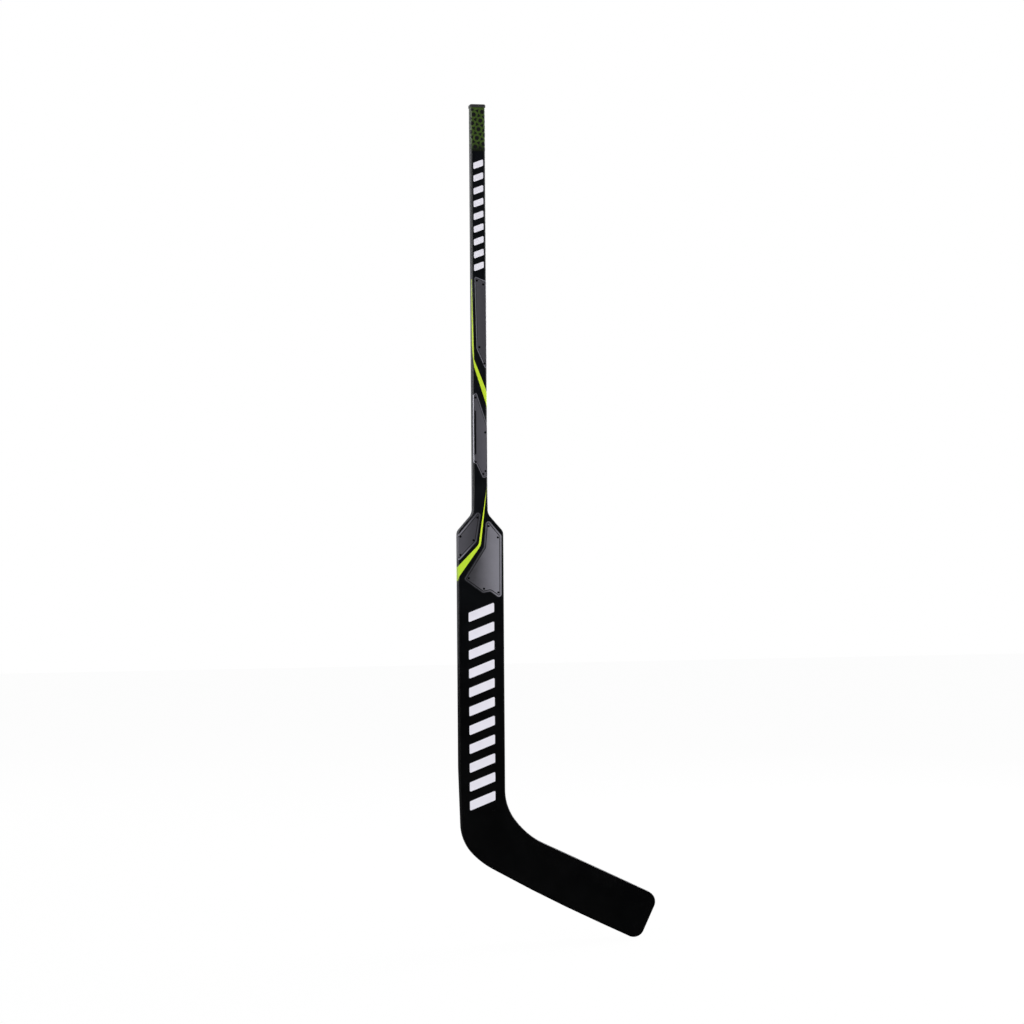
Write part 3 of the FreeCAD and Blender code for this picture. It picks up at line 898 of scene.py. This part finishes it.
dots = {                        # dished stud heads in the panels' corners
    "radius": 2.1, "sides": 24,
    "steps": ((0.12, 0.24), (0.2, 0.02), (0.25, -0.06)),            # way in, way out of the face
    "shaft": ((-0.018, 0.6), (0.658, 0.641), (0.559, 0.443), (-0.3, 0.4335), (-0.615, 0.726), (0.698, 0.813),
              (-0.633, 0.887), (0.4, 0.917), (0.708, 0.91)),
    "paddle": ((-0.145, 0.0115), (-0.893, 0.0675), (-0.324, 0.0784), (-0.9, 0.1213), (0.347, 0.0371),
               (0.748, 0.0708), (-0.543, 0.1902), (0.1215, 0.2219), (0.75, 0.2336)),
}


def makeDots():
    deselectAll()
    bpy.ops.mesh.primitive_circle_add(vertices=dots["sides"], radius=dots["radius"] * mm, fill_type="NGON",
                                      rotation=(math.pi / 2, 0, 0))
    bpy.ops.object.transform_apply(location=True, rotation=True, scale=True)
    first = named("panelDots", "dot")
    faceFront(first)
    chooseAll()
    for inwards, outwards in dots["steps"]:
        bpy.ops.mesh.inset(thickness=inwards * mm, depth=outwards * mm)
    bpy.ops.object.mode_set(mode="OBJECT")
    places = [onShaft(share) for share in dots["shaft"]] + [onPaddle(share) for share in dots["paddle"]]
    places = [(unrolled(x, stickHalf(z), z), z) for x, z in places]
    copies = [copyAt(first, x, z) for x, z in places[1:]]
    shift(first, *places[0])
    joinInto(first, copies)
    rollUp(first, stickHalf)
    bothFaces(first)
    settle(first, "stick", "dark_print", "panel_dot_films")


makeShaft()
makeSkin("frontSkin", -1, "front_skin")
makeSkin("backSkin", 1, "back_skin")
makeCap()
makeSleeve()
makePanel("shaftUpperPanel", panels["upper"], onShaft, shaftHalf, ("shaftRim", "line", "upperField"),
          "shaft_upper_panel_film")
makePanel("shaftLowerPanel", panels["lower"], onShaft, shaftHalf, ("lowerRim", "line", "lowerField"),
          "shaft_lower_panel_film", panels["slot"])
makePanel("shoulderHeelPanel", panels["heel"], onPaddle, paddleHalf, ("heelRim", "line", "heelField"),
          "shoulder_heel_panel_film")
makePanel("shoulderToePanel", panels["toe"], onPaddle, paddleHalf, ("toeRim", "line", "toeField"),
          "shoulder_toe_panel_film")
makeStripes()
makeBars("shaftBars", bars["shaft"], onShaft, "shaft_bar_films")
makeBars("paddleBars", bars["paddle"], onPaddle, "paddle_bar_films")
makeDots()


studio = {
    "ambient": 0.34, "lampAim": (0, 0, -0.1),
    "behind": 0.215, "infront": 0.0, "behindRange": (-0.3, 0.9),    # what glossy surfaces mirror
    "below": 0.25, "aboveRange": (-0.25, 0.15), "mirrorTint": (0.94, 0.95, 1.08, 1),
    "floorGlow": 0.97, "floorSize": 16.0, "floorGap": 0.5, "floorTints": (0.80, 0.84), "floorMirrored": 0.02,
    "lamps": (                                          # place, size in metres, watts
        ("lampLeft", (-2.6, -2.3, 0.9), (1.6, 2.6), 62),
        ("lampRight", (2.7, -2.0, 0.5), (1.6, 2.6), 46),
        ("lampRearLeft", (-2.0, 2.6, 0.9), (1.6, 2.4), 31),
        ("lampRearRight", (2.2, 2.4, 0.6), (1.6, 2.4), 10),
        ("lampTop", (0.2, -0.2, 2.7), (1.8, 1.8), 16),
        ("lampHighRight", (1.87, 1.17, 0.95), (1.5, 2.2), 70)),
}


def grey(level):
    return level, level, level, 1


def lightStudio():
    scene = bpy.context.scene
    scene.view_settings.view_transform = "Standard"
    world = bpy.data.worlds.new("studio")
    scene.world = world
    world.use_nodes = True
    world.cycles.sampling_method = "NONE"               # so that every ray finds the level meant for its kind
    sky = Finish("sky", world.node_tree)
    seen, through, mirrored = sky.rayKinds()
    towards = sky.add("ShaderNodeTexCoord", {}, {}, "Generated")
    behind = sky.ramp(sky.along("Y", towards), *studio["behindRange"], studio["infront"], studio["behind"])
    above = sky.ramp(sky.along("Z", towards), *studio["aboveRange"], studio["below"])
    level = studio["ambient"] + (seen + through) * (1 - studio["ambient"])
    level = level + mirrored * (behind * above - studio["ambient"])
    backdrop = world.node_tree.nodes["Background"]
    sky.feed(backdrop.inputs["Color"], sky.blend(mirrored, grey(1), studio["mirrorTint"]))
    sky.feed(backdrop.inputs["Strength"], level)
    for name, place, size, power in studio["lamps"]:
        lamp = bpy.data.lights.new(name, "AREA")
        lamp.shape = "RECTANGLE"
        lamp.size, lamp.size_y = size
        lamp.energy = power
        holder = bpy.data.objects.new(name, lamp)
        holder.location = place
        aim = Vector(studio["lampAim"]) - Vector(place)
        holder.rotation_euler = aim.to_track_quat("-Z", "Y").to_euler()
        scene.collection.objects.link(holder)
    print("lamps set:", len(studio["lamps"]))


def layFloor():
    low = min(v.co.z for v in bpy.data.objects["frontSkin"].data.vertices)
    deselectAll()
    bpy.ops.mesh.primitive_plane_add(size=studio["floorSize"], location=(0, 0, low - studio["floorGap"] * mm))
    floor = bpy.context.object
    floor.name = "floor"
    paper = Finish("paleFloor")
    fibre = paper.noise(30, 3)
    seen, through, mirrored = paper.rayKinds()
    tint = paper.blend(fibre, *[grey(level) for level in studio["floorTints"]])
    paper.coat(Base_Color=paper.blend(mirrored, tint, grey(studio["floorMirrored"])), Roughness=0.9,
               Specular_IOR_Level=0.0)
    glow = paper.add("ShaderNodeEmission", {}, {"Color": grey(1), "Strength": 1.0})
    both = paper.add("ShaderNodeMixShader", {}, {0: (seen + through) * studio["floorGlow"]})
    mixer = both.socket.node
    paper.tree.links.new(paper.surface.outputs[0], mixer.inputs[1])
    paper.tree.links.new(glow.socket, mixer.inputs[2])
    paper.tree.links.new(mixer.outputs[0], paper.tree.nodes["Material Output"].inputs["Surface"])
    floor.data.materials.append(paper.material)
    print("floor laid")


camera = {
    "lens": 85.0, "sensor": 36.0, "frameWidth": 1.8944, "azimuth": -11.5, "roll": -0.408, "aimRight": 0.0598,
    "aimUp": -0.0424,
}


def setCamera():
    yaw = math.radians(-camera["azimuth"])
    ahead = Vector((math.sin(yaw), math.cos(yaw), 0))
    right = Vector((math.cos(yaw), -math.sin(yaw), 0))
    lens = bpy.data.cameras.new("photoCamera")
    lens.lens = camera["lens"]
    lens.sensor_width = camera["sensor"]
    eye = bpy.data.objects.new("photoCamera", lens)
    away = camera["frameWidth"] * camera["lens"] / camera["sensor"]
    eye.location = right * camera["aimRight"] + Vector((0, 0, camera["aimUp"])) - ahead * away
    turn = ahead.to_track_quat("-Z", "Y").to_matrix().to_4x4()
    roll = Matrix.Rotation(math.radians(camera["roll"]), 4, "Z")
    eye.rotation_euler = (turn @ roll).to_euler()
    bpy.context.scene.collection.objects.link(eye)
    bpy.context.scene.camera = eye
    print("camera set")


lightStudio()
layFloor()
setCamera()
deselectAll()
